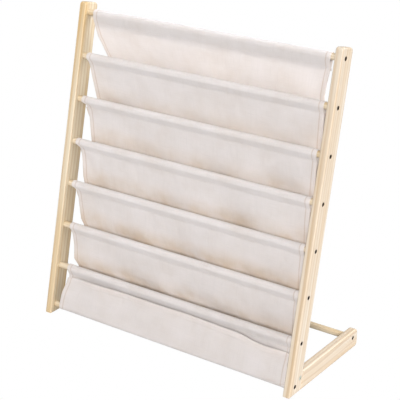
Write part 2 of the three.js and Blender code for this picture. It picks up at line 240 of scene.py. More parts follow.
pineLook = {
    "early": "#dacbb3", "late": "#bb986b", "warm": "#d4bf9f", "pale": "#dfd3be", "roughness": 0.46,
    "ringSpacing": 7.0, "ringStrength": 0.42,
    # The rings wander by wanderReach over wanderSize: across the board twice, then along it
    "wanderSize": (111.1, 111.1, 454.5), "wanderReach": 16,
    "fibreWidth": 1.3, "fibreStretch": 60, "fibreHeight": 0.4, "patchSize": (16.67, 16.67, 333.3),
}


# Pine, planed and clear lacquered: pale, with honey-coloured late-wood lines that run along the length and a
# low, even shine. coarse spreads the ring lines.
def pineMaterial(name, turn, shift, look=pineLook, coarse=1.0):
    material, tree, shader = newMaterial(name)
    place = node(tree, "TexCoord").outputs["Object"]
    # The board's length is turned to the pattern's Z, and the pith lies beside the board by the shift
    board = node(tree, "Mapping", {"Rotation": turn, "Location": shift}, {"Vector": place}).outputs[0]
    wander = noise(tree, sized(tree, board, *look["wanderSize"]), 3.0, 0.45)["Color"]
    reach = look["wanderReach"] * mm
    grown = wandered(tree, board, wander, (reach, reach, 0))
    rings = bands(tree, grown, look["ringSpacing"] * coarse, wave_type="RINGS", rings_direction="Z",
                  wave_profile="SAW")
    ringTone = ramp(tree, rings, (0.0, 0.0), (0.55, 0.18), (0.86, 1.0), (0.95, 0.75), (1.0, 0.0))
    # Fibres: threads of wood about a millimetre wide and some centimetres long
    fine = look["fibreWidth"]
    fibre = noise(tree, sized(tree, board, fine, fine, fine * look["fibreStretch"]), roughness=0.6)["Fac"]
    patch = noise(tree, sized(tree, board, *look["patchSize"]))["Fac"]
    base = ramp(tree, patch, (0.36, look["pale"]), (0.5, look["early"]), (0.66, look["warm"]))
    ringShare = maths(tree, "MULTIPLY", {0: ringTone}, {1: look["ringStrength"]})
    ringed = node(tree, "Mix", {7: linear(look["late"])}, {"Factor": ringShare, 6: base}, data_type="RGBA")
    fibreTone = ramp(tree, fibre, (0.3, 0.93), (0.62, 1.0), (0.8, 1.0))
    wood = multiplied(tree, {"Factor": 1.0}, {6: ringed.outputs[2], 7: fibreTone})
    rough = ramp(tree, fibre, (0.3, look["roughness"] + 0.12), (0.7, look["roughness"]))
    plug(tree, shader, {"IOR": 1.5, "Coat Weight": 0.12, "Coat Roughness": 0.3},
         {"Base Color": wood, "Roughness": rough, "Normal": bump(tree, fibre, 0.22, look["fibreHeight"])})
    return material


canvasLook = {
    "pale": "#e4ddd8", "plain": "#e0d9d3", "warm": "#dcd4cd", "roughness": 0.92, "threadHeight": 0.5,
    # Real threads are 0.7 mm apart, too fine for the picture, so they are drawn at threadSpacing
    "threadSpacing": 1.9, "weaveShade": 0.965, "waverSize": 11.11, "waverReach": 1.2,
    "slubWidth": 1.613, "slubLength": 45.45, "mottleSize": 71.43,
    # Painted shade: low in a pocket the colour is a little browner, in uneven patches, from and to how far
    # down the cut cloth
    "brown": "#ecdfcc", "brownFrom": 96, "brownTo": 138, "brownPatch": 62.5,
    # The side hems' stitch lines hold a thin shadow, full to seamCore beside the line and gone at seamReach
    "seamShade": "#efe8e1", "seamCore": 0.4, "seamReach": 1.8,
}


# Unbleached cotton canvas in plain weave: matt, off-white, with slubs and a soft mottle of thick threads.
# Light goes a little way through it.
def canvasMaterial(number, shift, brownness=0.0, tone=1.0):
    material, tree, shader = newMaterial(f"canvas, unbleached cotton {number}")
    look = canvasLook
    cut = node(tree, "UVMap", uv_map="cut").outputs[0]
    cloth = node(tree, "Mapping", {"Location": (0, shift, 0)}, {"Vector": cut}).outputs[0]
    waver = noise(tree, cloth, size=look["waverSize"])["Color"]
    laid = wandered(tree, cloth, waver, [look["waverReach"] * mm] * 3)
    warp, weft = (bands(tree, laid, look["threadSpacing"], wave_type="BANDS", bands_direction=way,
                        wave_profile="SIN") for way in ("X", "Y"))
    weave = maths(tree, "MULTIPLY", {0: warp, 1: weft})
    # Slubs: single threads that are thicker for some centimetres, along the warp and along the weft
    wide, long = look["slubWidth"], look["slubLength"]
    slubs = [noise(tree, sized(tree, laid, *sizes, 1 / mm), roughness=0.55)["Fac"]
             for sizes in ((wide, long), (long, wide))]
    slub = maths(tree, "MAXIMUM", dict(enumerate(slubs)))
    mottle = noise(tree, cloth, 4.0, 0.6, look["mottleSize"])["Fac"]
    base = ramp(tree, mottle, (0.34, look["warm"]), (0.5, look["plain"]), (0.68, look["pale"]))
    slubTone = ramp(tree, slub, (0.5, 1.0), (0.66, 0.97), (0.8, 0.94))
    slubbed = multiplied(tree, {"Factor": 1.0}, {6: base, 7: slubTone})
    # tone is painted shade over the whole sheet, darker towards the lower pockets
    weaveTone = ramp(tree, weave, (0.0, look["weaveShade"] * tone), (0.5, tone))
    woven = multiplied(tree, {"Factor": 1.0}, {6: slubbed, 7: weaveTone})
    across, down = node(tree, "SeparateXYZ", links={0: cut}).outputs[:2]
    # Painted shade: browner low in the pocket, in uneven patches
    low = node(tree, "MapRange", {1: look["brownFrom"] * mm, 2: look["brownTo"] * mm, 4: brownness},
               {0: down}, interpolation_type="SMOOTHSTEP").outputs[0]
    uneven = ramp(tree, noise(tree, cloth, 3.0, 0.55, look["brownPatch"])["Fac"], (0.4, 0.35), (0.62, 1.0))
    brownShare = maths(tree, "MULTIPLY", {0: low, 1: uneven})
    lowShaded = multiplied(tree, {7: linear(look["brown"])}, {"Factor": brownShare, 6: woven})
    # The distance from the nearer side edge, and from there to the side hem's stitch line
    fromEdge = maths(tree, "PINGPONG", {0: across}, {1: canvas["width"] / 2 * mm})
    beside = maths(tree, "SUBTRACT", {0: fromEdge}, {1: canvas["sideHem"] * mm})
    offSeam = maths(tree, "ABSOLUTE", {0: beside})
    seamShare = node(tree, "MapRange", {1: look["seamCore"] * mm, 2: look["seamReach"] * mm, 3: 1.0, 4: 0.0},
                     {0: offSeam}).outputs[0]
    sewn = multiplied(tree, {7: linear(look["seamShade"])}, {"Factor": seamShare, 6: lowShaded})
    height = maths(tree, "MULTIPLY_ADD", {0: slub, 2: weave}, {1: 0.7})
    # Light comes through the thin cloth, a little warmer than it went in
    plug(tree, shader, {"Roughness": look["roughness"], "Specular IOR Level": 0.25, "Subsurface Weight": 1.0,
                        "Subsurface Radius": (1.0, 0.97, 0.94), "Subsurface Scale": 2.5 * mm,
                        "Sheen Weight": 0.15, "Sheen Roughness": 0.5},
         {"Base Color": sewn, "Normal": bump(tree, height, 0.35, look["threadHeight"])})
    return material


threadLook = {"dark": "#d9cfc4", "bright": "#ece5dd", "twist": 0.9, "height": 0.2, "roughness": 0.8}


# Cotton sewing thread, two plies twisted together: fine slanting lines, a little brighter than the canvas
def threadMaterial():
    material, tree, shader = newMaterial("cotton sewing thread, twisted")
    place = node(tree, "TexCoord").outputs["Object"]
    twist = bands(tree, place, threadLook["twist"], 0.6, wave_type="BANDS", bands_direction="DIAGONAL")
    tone = ramp(tree, twist, (0.0, threadLook["dark"]), (0.6, threadLook["bright"]))
    plug(tree, shader, {"Roughness": threadLook["roughness"]},
         {"Base Color": tone, "Normal": bump(tree, twist, 0.3, threadLook["height"])})
    return material


steelLooks = {
    "bronzed": {"dark": "#1d130b", "bright": "#33230f", "roughness": 0.5, "metallic": 0.35, "grit": 0.6},
    "zinc plated": {"dark": "#c6c9bb", "bright": "#dfe2d6", "roughness": 0.5, "metallic": 0.6, "grit": 0.9},
}


# Plated steel: an even metal skin with fine worn specks where the plating is thin
def steelMaterial(name, look, speckHeight=0.2):
    material, tree, shader = newMaterial(name)
    place = node(tree, "TexCoord").outputs["Object"]
    speck = noise(tree, place, 4.0, 0.7, look["grit"])["Fac"]
    tone = ramp(tree, speck, (0.35, look["dark"]), (0.68, look["bright"]))
    rough = ramp(tree, speck, (0.3, look["roughness"] + 0.15), (0.7, look["roughness"]))
    plug(tree, shader, {"Metallic": look["metallic"]},
         {"Base Color": tone, "Roughness": rough, "Normal": bump(tree, speck, 0.12, speckHeight)})
    return material


alongPost = (leanAngle, 0, 0)       # turns a post's length to the pattern's Z
alongFoot = (math.pi / 2, 0, 0)     # a foot's length
alongRod = (0, -math.pi / 2, 0)     # a rod's length
# The left post is drawn more golden, with deeper-coloured late-wood lines, than the other pieces
leftLook = dict(pineLook, early="#dccbaa", late="#b98d52", warm="#d7bc8c", pale="#e1d4b8")
rodLook = dict(pineLook, early="#dccdaf", late="#c0a070", warm="#d4be97", pale="#e2d4ba")
pine = "pine, planed and lacquered, "
battenMaterials = {
    "leftPost": pineMaterial(pine + "left post", alongPost, (0.24, 0.03, 0.1), leftLook),
    "rightPost": pineMaterial(pine + "right post", alongPost, (-0.335, 0.045, 0.4)),
    "leftFoot": pineMaterial(pine + "left foot", alongFoot, (0.25, 0.06, 0.7)),
    "rightFoot": pineMaterial(pine + "right foot", alongFoot, (-0.25, 0.05, 0.9)),
}
rodMaterial = pineMaterial("pine dowel rod, turned and lacquered", alongRod, (0, 0.02, 0.3), rodLook, 0.6)
threadCotton = threadMaterial()
bronzed = steelMaterial("steel screw, bronzed", steelLooks["bronzed"])
zincPlated = steelMaterial("steel nut, zinc plated", steelLooks["zinc plated"])
print("materials made")

# Battens
battens = {
    "thickness": 16, "width": 38, "edgeRound": 3, "edgeSteps": 6, "cornerSteps": 8, "leastCorner": 0.15,
    "rodSetback": 15, "topMargin": 20, "topCorner": 7, "footCorner": 9, "cutCorner": 0.8, "jointGap": 0.3,
    "rodHole": 13.4, "socketDepth": 5, "mouthEase": 0.2, "mouthFrom": -0.05, "mouthTo": 0.25,
    "recessHole": 8.6, "recessDepth": 3.2, "recessChamfer": 0.4, "chamferGrowth": 1.2, "chamferProud": 0.1,
    "shankHole": 4.6, "barrelHole": 10.5, "barrelHoleDepth": 13.8, "studHole": 6.6, "pinHole": 6.6,
    "holeSides": 40, "overrun": 3,
}
innerFace = outerFace - battens["thickness"] * mm
battenMiddle = (innerFace + outerFace) / 2
overrun = battens["overrun"] * mm


# The side view, counter-clockwise, moved inwards by inset. Each corner is an arc from one edge's inward
# direction to the next one's, round a centre that lies on the corner's own bisector.
def battenOutline(corners, radii, inset):
    corners = np.array(corners, float)
    edges = unit(np.roll(corners, -1, 0) - corners)
    inward = np.stack([-edges[:, 1], edges[:, 0]], 1)
    before = np.roll(inward, 1, 0)
    bisector = (before + inward) / (1 + np.sum(before * inward, 1))[:, None]
    radius = np.maximum(np.array(radii, float) * mm - inset, battens["leastCorner"] * mm)
    centre = corners + bisector * (inset + radius)[:, None]
    start = np.arctan2(-before[:, 1], -before[:, 0])
    sweep = (np.arctan2(-inward[:, 1], -inward[:, 0]) - start) % (2 * math.pi)
    angle = start[:, None] + sweep[:, None] * np.linspace(0, 1, battens["cornerSteps"])
    arcs = centre[:, None] + radius[:, None, None] * np.stack([np.cos(angle), np.sin(angle)], -1)
    return arcs.reshape(-1, 2)


# A batten: its outline stacked along X, drawn in at both faces by a quarter round
def batten(name, corners, radii, middle):
    half, edge = battens["thickness"] / 2 * mm, battens["edgeRound"] * mm
    turn = np.linspace(math.pi / 2, 0, battens["edgeSteps"] + 1)
    insets = edge * (1 - np.cos(turn))
    places = half - edge * (1 - np.sin(turn))
    insets = np.concatenate([insets, insets[::-1]])
    places = np.concatenate([-places, places[::-1]])
    rings = []
    for inset, place in zip(insets, places):
        outline = battenOutline(corners, radii, inset)
        rings.append(np.column_stack([np.full(len(outline), middle + place), outline]))
    count = len(rings[0])
    faces = gridFaces(len(rings), count, closed=True)
    faces += [list(range(count))[::-1], [(len(rings) - 1) * count + j for j in range(count)]]
    return addPiece(name, np.concatenate(rings), faces, battenMaterials[name], "pine")


# The hole for a rod and its screw: chamfered recess outside, shank hole, socket inside with an eased mouth
def boreAt(place, outward):
    b = battens
    socket, recess, shank = (b[key] / 2 * mm for key in ("rodHole", "recessHole", "shankHole"))
    mouth = socket + b["mouthEase"] * mm
    wide = recess + b["recessChamfer"] * mm * b["chamferGrowth"]
    socketEnd = innerFace + b["socketDepth"] * mm
    bottom = outerFace - b["recessDepth"] * mm
    profile = [(innerFace - overrun, 0), (innerFace - overrun, mouth),
               (innerFace + b["mouthFrom"] * mm, mouth), (innerFace + b["mouthTo"] * mm, socket),
               (socketEnd, socket), (socketEnd, shank), (bottom, shank), (bottom, recess),
               (outerFace - b["recessChamfer"] * mm, recess), (outerFace + b["chamferProud"] * mm, wide),
               (outerFace + overrun, wide), (outerFace + overrun, 0)]
    return turned(profile, b["holeSides"], place, outward)


def cylinderX(start, end, radius, place, outward):
    profile = [(start, 0), (start, radius), (end, radius), (end, 0)]
    return turned(profile, battens["holeSides"], place, outward)


# A plain round cutter along Y
def cylinderY(start, end, radius, x, z):
    points, faces = cylinderX(start, end, radius, (0, 0), 1)
    return np.column_stack([x + points[:, 1], points[:, 0], z - points[:, 2]]), [face[::-1] for face in faces]


along = np.array([math.sin(leanAngle), math.cos(leanAngle)])
forward = np.array([-along[1], along[0]])
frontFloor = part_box("left_post")[0][1]
rearFloor = frontFloor + battens["width"] * mm / along[1]
topMiddle = rodPlaces[1] + along * battens["topMargin"] * mm
topFront = topMiddle + forward * battens["rodSetback"] * mm
topRear = topFront - forward * battens["width"] * mm
postCorners = [(frontFloor, 0), (rearFloor, 0), topRear, topFront]
postRadii = [battens["cutCorner"], battens["cutCorner"], battens["topCorner"], battens["topCorner"]]


# How far back a post's rear edge is at a height
def rearEdge(height):
    return rearFloor + height * math.tan(leanAngle)


footTop = battens["width"] * mm
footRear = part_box("left_foot")[1][1]
gap = battens["jointGap"] * mm
footCorners = [(rearEdge(0) + gap, 0), (footRear, 0), (footRear, footTop), (rearEdge(footTop) + gap, footTop)]
footRadii = [battens["cutCorner"], battens["footCorner"], battens["footCorner"], battens["cutCorner"]]

studHeight = middleOf("left_foot_stud")[2]
pinHeight = middleOf("left_locating_pin")[2]
barrelPlace = middleOf("left_barrel_nut")[1:]
for side, outward in sides.items():
    middle = outward * battenMiddle
    joints = []
    for inJoint, hole, height in (("foot_stud", "studHole", studHeight),
                                  ("locating_pin", "pinHole", pinHeight)):
        low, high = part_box(f"{side}_{inJoint}")
        joints.append(cylinderY(low[1] - gap, high[1] + gap, battens[hole] / 2 * mm, middle, height))
    post = batten(f"{side}Post", postCorners, postRadii, middle)
    carve(post, [boreAt(rodPlaces[number], outward) for number in rodNumbers])
    carve(post, [cylinderX(outerFace - battens["barrelHoleDepth"] * mm, outerFace + overrun,
                           battens["barrelHole"] / 2 * mm, barrelPlace, outward)])
    carve(post, joints)
    foot = batten(f"{side}Foot", footCorners, footRadii, middle)
    carve(foot, [boreAt(rearRodPlace, outward)])
    carve(foot, joints)
    for piece, replaced in ((post, f"{side}_post"), (foot, f"{side}_foot")):
        piece.data.set_sharp_from_angle(angle=math.radians(40))
        weighted = piece.modifiers.new("even shading", "WEIGHTED_NORMAL")
        weighted.keep_sharp = True
        applied(piece)
        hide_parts(replaced)
print("battens made")

# Rods. Each ends its joint gap short of its socket's bottom, and takes its screw in a pilot hole.
rods = {
    "diameter": 13, "half": innerFace / mm + battens["socketDepth"] - battens["jointGap"], "endRound": 0.9,
    "endSteps": 4, "pilot": 4.6, "pilotEnd": 266.8, "plainFrom": 4, "rings": 60, "sides": 48,
}


# From the axis out of the left pilot hole, along the rod, and into the right pilot hole
def rodProfile():
    radius, half, ease = rods["diameter"] / 2, rods["half"], rods["endRound"]
    pilot, depth = rods["pilot"] / 2, rods["pilotEnd"]
    turn = np.linspace(0, math.pi / 2, rods["endSteps"])
    right = [(half - ease + ease * math.sin(t), radius - ease + ease * math.cos(t)) for t in turn]
    plain = np.linspace(rods["plainFrom"] - half, half - rods["plainFrom"], rods["rings"])
    profile = [(-depth, 0), (-depth, pilot), (-half, pilot)]
    profile += [(-x, r) for x, r in right[::-1]] + [(x, radius) for x in plain] + right
    profile += [(half, pilot), (depth, pilot), (depth, 0)]
    return np.array(profile) * mm


for name, place in [*((str(number), place) for number, place in rodPlaces.items()), ("Rear", rearRodPlace)]:
    points, faces = turned(rodProfile(), rods["sides"], place)
    rod = addPiece(f"rod{name}", points, faces, rodMaterial, "rod_wood")
    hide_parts("rear_rod" if name == "Rear" else f"rod_{name}")
print("rods made")

# Screws. A thread ridge rises up to the first of ridgeSteps, is flat to the second and falls to the third.
screws = {
    "head": 8.0, "headHeight": 2.6, "headRound": 0.5, "shank": 4, "core": 3.1, "length": 30, "tip": 4,
    "threadPitch": 1.4, "threadEnd": 8, "runOut": 1, "ridgeSteps": (0.5, 0.7, 1.1), "key": 3, "keyDepth": 1.5,
    "keyCone": 0.3, "seat": outerFace / mm - battens["recessDepth"] + battens["jointGap"], "sides": 24,
}
cornerShare = 0.3    # how far the middle of a small round lies in from its sides, as a share of its radius


# From the tip along the ridges of the thread and the shank to the head, and down into its hexagon socket
def screwProfile():
    s = screws
    seat, top = s["seat"], s["seat"] + s["headHeight"]
    core, shank = s["core"] / 2, s["shank"] / 2
    rise, flat, fall = s["ridgeSteps"]
    profile = [(seat - s["length"], 0), (seat - s["length"] + s["tip"] / 2, s["core"] / 3)]
    for ridge in np.arange(seat - s["length"] + s["tip"], seat - s["threadEnd"], s["threadPitch"]):
        profile += [(ridge, core), (ridge + rise, shank), (ridge + flat, shank), (ridge + fall, core)]
    edge, rim = s["headRound"], s["head"] / 2
    profile += [(seat - s["threadEnd"] + s["runOut"], shank), (seat, shank), (seat, rim), (top - edge, rim),
                (top - edge * cornerShare, rim - edge * cornerShare), (top, rim - edge)]
    hexRows = [len(profile) - 1, len(profile)]
    bottom = top - s["keyDepth"]
    profile += [(top, s["key"] / 2), (bottom, s["key"] / 2), (bottom - s["keyCone"], 0)]
    return np.array(profile) * mm, hexRows


for side, outward in sides.items():
    for number in [*rodNumbers, "rear"]:
        place = rearRodPlace if number == "rear" else rodPlaces[number]
        profile, hexRows = screwProfile()
        points, faces = turned(profile, screws["sides"], place, outward, hexRows)
        name = f"{side}Screw{str(number).capitalize()}"
        screw = addPiece(name, points, faces, bronzed, "dark_steel", sharpFrom=35)
        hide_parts(f"{side}_rear_screw" if number == "rear" else f"{side}_screw_{number}")
print("screws made")

# Barrel nuts. Their slots are turned a little from upright, as an assembler leaves them.
barrels = {
    "diameter": 10, "sink": 0.5, "length": 13, "edge": 0.7, "sides": 48, "cross": 6.6,
    "slotWidth": 2.4, "slotDepth": 3.4, "slotTurn": 18, "overrun": 1,
}


# The cutter for a screwdriver's slot: a thin box across the disc
def slotCutter(floor, end, reach, outward):
    half, turn = barrels["slotWidth"] / 2 * mm, math.radians(barrels["slotTurn"])
    x, y, z = np.array([(x, y, z) for x in (floor, end) for y in (-half, half) for z in (-reach, reach)]).T
    swung = np.column_stack([x * outward, y * math.cos(turn) - z * math.sin(turn) + barrelPlace[0],
                             y * math.sin(turn) + z * math.cos(turn) + barrelPlace[1]])
    faces = [[0, 1, 3, 2], [4, 6, 7, 5], [0, 4, 5, 1], [2, 3, 7, 6], [0, 2, 6, 4], [1, 5, 7, 3]]
    return swung, faces if outward > 0 else [face[::-1] for face in faces]


for side, outward in sides.items():
    radius, edge = barrels["diameter"] / 2 * mm, barrels["edge"] * mm
    outer = outerFace - barrels["sink"] * mm
    inner = outer - barrels["length"] * mm
    profile = [(inner, 0), (inner, radius - edge), (inner + edge, radius), (outer - edge, radius),
               (outer - edge * cornerShare, radius - edge * cornerShare), (outer, radius - edge), (outer, 0)]
    points, faces = turned(profile, barrels["sides"], barrelPlace, outward)
    nut = addPiece(f"{side}BarrelNut", points, faces, zincPlated, "zinc_steel")
    slotFloor, slotEnd = outer - barrels["slotDepth"] * mm, outer + barrels["overrun"] * mm
    carve(nut, [slotCutter(slotFloor, slotEnd, 2 * radius, outward)])
    carve(nut, [cylinderY(barrelPlace[0] - 2 * radius, barrelPlace[0] + 2 * radius, barrels["cross"] / 2 * mm,
                          outward * battenMiddle, studHeight)])
    nut.data.set_sharp_from_angle(angle=math.radians(35))
    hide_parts(f"{side}_barrel_nut")
    for kept, look in ((f"{side}_foot_stud", zincPlated), (f"{side}_locating_pin", rodMaterial)):
        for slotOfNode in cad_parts[kept].material_slots:
            slotOfNode.material = look
print("barrel nuts made")

# Canvas. Pairs say where an effect starts and ends: hemFade and stepIn in mm, the others as shares of the way
# down the wall.
canvas = {
    "width": 554, "thickness": 1.0, "columns": 180, "seamGap": 0.4, "tunnelPlay": 0.4, "layer": 1.6,
    "stitchDrop": 9, "topStitchDrop": 14.5, "tunnelHem": 6, "hangSetback": 3, "hangShare": 0.4, "sideHem": 9,
    "hemExtra": 0.35, "hemFade": (-0.8, 0.4), "hemStandOff": 0.4, "pocketRise": 10, "bulge": 52, "sag": 5,
    "rimShare": 0.8, "hemRows": 5, "riseRows": 6, "rodSteps": 22, "dropStep": 1.2, "leastDropRows": 8,
    "curveSteps": 13, "seed": 41, "patternShift": 0.37,
    # How far under the rod the side edges step in, then where down the wall and how much they are drawn in
    "stepIn": (1, 9), "drawAt": [0, 0.02, 0.1, 0.2, 0.25, 0.6, 1],
    "drawShares": [0.15, 0.2, 0.6, 1, 1, 0.8, 0],
    "lowerEnds": (0.45, 1), "lowerInset": 3, "wallLength": 270, "edgeBlend": 0.34,
    "foldDepth": 3, "foldSpacing": 260, "narrowFoldSpacing": 170, "foldEnd": 0.75, "foldSlant": 0.5,
    "foldShift": 0.37, "gather": 0.2, "gatherFrom": (0, 0.03), "gatherTo": (0.08, 0.35),
    "crumple": 0.25, "crumpleFrom": (0, 0.05), "crumpleTo": (0.93, 1),
}
# Kinds of unevenness: the shortest and the longest wave, how far they slant, and how many waves if not 14
waveKinds = {
    "walls": (60, 260, 0.1), "gathers": (14, 50, 0.12), "crumples": (18, 70, 1.0, 24),
    "backCrumples": (16, 90, 0.7, 24), "frontSlack": (90, 260, 0.5), "frontCrumples": (14, 60, 0.9, 24),
}
# Where the cloth ends on each rod, left and right
clothEnds = {
    1: (-270.5, 274.5), 2: (-275.5, 275.5), 3: (-275.5, 276), 4: (-278, 277),
    5: (-275.5, 280), 6: (-268, 283), 7: (-262, 283), 8: (-272, 283.5),
}
# A pocket's side view below its hanging wall, row by row, as shares: of the bulge behind the lower rod, of
# the depth below it, of the wall's half-way and low set-backs, of its hollows and of its waves in mm
pocketRowShares = [
    (0.52, -0.12, 1, 0, 0.55, 1.2), (0.85, 0.15, 0, 1, 1, 0), (0.93, 0.34, 0, 0.5, 0.6, 0),
    (1, 0.62, 0, 0.15, 0.3, 0), (0.86, 0.9, 0, 0, 0, 0), (0.6, 1, 0, 0, 0, 0), (0.34, 0.82, 0, 0, 0, 0),
    (0.16, 0.45, 0, 0, 0, 0),
]
# How far the wall is set back at its left edge, in the middle and at its right edge, at three heights: under
# the seam, half way, and level with the next rod
wallBacks = {"left": (1, -3, -19), "middle": (0, -3, -19), "right": (0, -3, -19)}
# How each pocket differs: draw is how far its left edge is drawn in at canvas drawAt, drawRight the most that
# its right edge is drawn in, and hollows are (middle, reach, depth) low in the wall. Each also sets how much
# painted shade lies low in its wall, and a painted shade over its whole sheet, darker towards the lower
# pockets
pockets = {
    1: {**wallBacks, "right": (0, -4, -19), "brownness": 0.05, "tone": 1.005,
        "draw": [-3, -3, 2, 22, 29, 24, 0], "drawRight": 15,
        "hollows": [(-120, 60, 2), (150, 70, 2)]},
    2: {**wallBacks, "brownness": 0.35, "tone": 1.01,
        "draw": [3, 3, 5.5, 10.5, 14, 12, 0], "drawRight": 8,
        "hollows": [(-225, 40, 4), (-140, 55, 3), (213, 45, 6)]},
    3: {**wallBacks, "brownness": 0.5, "tone": 1.0,
        "draw": [11, 12, 12, 12.5, 13.5, 11, 0], "drawRight": 8,
        "hollows": [(-150, 26, 4), (-60, 20, 3), (49, 30, 6), (221, 52, 6)]},
    4: {**wallBacks, "left": (0, -4, -20), "brownness": 0.8, "tone": 0.995,
        "draw": [9, 9, 9, 9, 12, 10, 0], "drawRight": 8,
        "hollows": [(-233, 22, 4), (-50, 45, 5), (122, 28, 6), (256, 26, 5)]},
    5: {**wallBacks, "brownness": 0.85, "tone": 0.985,
        "draw": [9, 9.5, 9, 11, 19, 14, 0], "drawRight": 8,
        "hollows": [(-156, 45, 4), (2, 45, 5), (144, 22, 5), (230, 58, 6)]},
    6: {**wallBacks, "brownness": 0.9, "tone": 0.97,
        "draw": [1, 1, 0, -2, 10, 10, 0], "drawRight": 8,
        "hollows": [(-219, 34, 4), (-90, 55, 5), (60, 80, 6), (200, 90, 7)]},
}


# Smooth unevenness about 0: a sum of cosine waves whose lengths, directions and starts are drawn from a
# seeded generator, over the root of their summed squares. slant is how much a wave may turn from the width.
def waves(across, along, seed, shortest, longest, slant, count=14):
    draw = np.random.default_rng(seed)
    length = shortest * (longest / shortest) ** draw.random(count)
    turn = draw.normal(0, slant, count)
    start = draw.random(count) * 2 * math.pi
    size = (length / longest) ** 0.7
    total = sum(s * np.cos(2 * math.pi * (across * math.cos(t) + along * math.sin(t)) / l + p)
                for s, l, t, p in zip(size, length, turn, start))
    return total / np.sqrt(np.sum(size ** 2))


# A smooth curve through rows of points: between two neighbours it is the cubic whose end slopes are half the
# way from the one before to the one after. points is (rows, columns, 2).
def catmullRom(points, steps):
    padded = np.concatenate([points[:1], points, points[-1:]])
    a, b, c, d = (padded[k:len(points) - 1 + k][:, None] for k in range(4))
    t = np.linspace(0, 1, steps, endpoint=False)[None, :, None, None]
    square, cube = 2 * a - 5 * b + 4 * c - d, 3 * b - a - 3 * c + d
    curve = 0.5 * (2 * b + (c - a) * t + square * t ** 2 + cube * t ** 3)
    return np.concatenate([curve.reshape(-1, *points.shape[1:]), points[-1:]])


# The arc on which cloth lies on a rod between two straight stretches, relative to the rod's middle. A stretch
# touches the rod at the angle of its far end, plus or minus the arc cosine of radius over distance.
def aroundRod(entry, exit, radius, turn):
    def touch(point, way):
        return math.atan2(point[1], point[0]) + way * math.acos(radius / math.hypot(*point))
    first, last = touch(entry, turn), touch(exit, -turn)
    angle = first + turn * ((turn * (last - first)) % (2 * math.pi)) * np.linspace(0, 1, canvas["rodSteps"])
    return np.column_stack([radius * np.cos(angle), radius * np.sin(angle)])


tunnelRadius = rods["diameter"] / 2 + canvas["tunnelPlay"] + canvas["thickness"] / 2


# The straight stretches from a hem's end over its stitch line to the start of the arc on the rod
def hemLine(hemEnd, stitch, arcStart):
    return [np.linspace(hemEnd, stitch, canvas["hemRows"])[:-1],
            np.linspace(stitch, arcStart, canvas["riseRows"])[:-1]]


# The side view of a rod tunnel: hem behind, over the rod, down in front to the stitch line
def tunnelLine(drop):
    c = canvas
    low = -rods["diameter"] / 2 - drop
    behind, inFront = (c["layer"] / 2, low), (-c["layer"] / 2, low)
    arc = aroundRod(behind, inFront, tunnelRadius, 1)
    dropRows = max(int(drop / c["dropStep"]), c["leastDropRows"])
    return np.concatenate([*hemLine((c["layer"] / 2, low - c["tunnelHem"]), behind, arc[0]), arc,
                           np.linspace(arc[-1], inFront, dropRows)[1:]])


# A sheet of cloth: its middle surface moved out by half its thickness along its normals on both sides, and a
# blunt edge all the way round, rimShare of half a thickness proud. middle is (rows, columns, 3) in mm.
def sheetPiece(name, middle, half, uv, material):
    rows, columns = middle.shape[:2]
    down, across = np.gradient(middle, axis=0), np.gradient(middle, axis=1)
    normal = unit(np.cross(down, across))
    index = np.arange(rows * columns).reshape(rows, columns)
    border = np.concatenate([index[0, :-1], index[:-1, -1], index[-1, :0:-1], index[:0:-1, 0]])
    outward = np.zeros_like(middle)
    outward[0] -= unit(down[0])
    outward[-1] += unit(down[-1])
    outward[:, 0] -= unit(across[:, 0])
    outward[:, -1] += unit(across[:, -1])
    rim = (middle + outward * half[..., None] * canvas["rimShare"]).reshape(-1, 3)[border]
    front, back = middle + normal * half[..., None], middle - normal * half[..., None]
    points = np.concatenate([front.reshape(-1, 3), back.reshape(-1, 3), rim]) * mm
    count = rows * columns
    faces = gridFaces(rows, columns)
    faces += [[corner + count for corner in face[::-1]] for face in faces]
    onRim = np.arange(len(border)) + 2 * count
    for near, far in ((border, onRim), (onRim, border + count)):
        faces += np.stack([near, far, np.roll(far, -1), np.roll(near, -1)], 1).tolist()
    flat = uv.reshape(-1, 2)
    allUv = np.concatenate([flat, flat, flat[border]]) * mm
    return addPiece(name, points, faces, material, "canvas", allUv, sharpFrom=80), normal


# A stitch's rings lie at sectionShares of its half length and have radiusShares of its half thickness. Its
# middle line is lifted by liftShare of its thickness and dips by dipShare at both ends.
stitches = {
    "pitch": 3.4, "length": 2.7, "thick": 0.5, "sides": 6, "lookAhead": 0.5,
    "liftShare": 0.32, "dipShare": 0.75,
    "sectionShares": [-1, -0.8, -0.4, 0.4, 0.8, 1.0], "radiusShares": [0.35, 0.8, 1, 1, 0.8, 0.35],
}


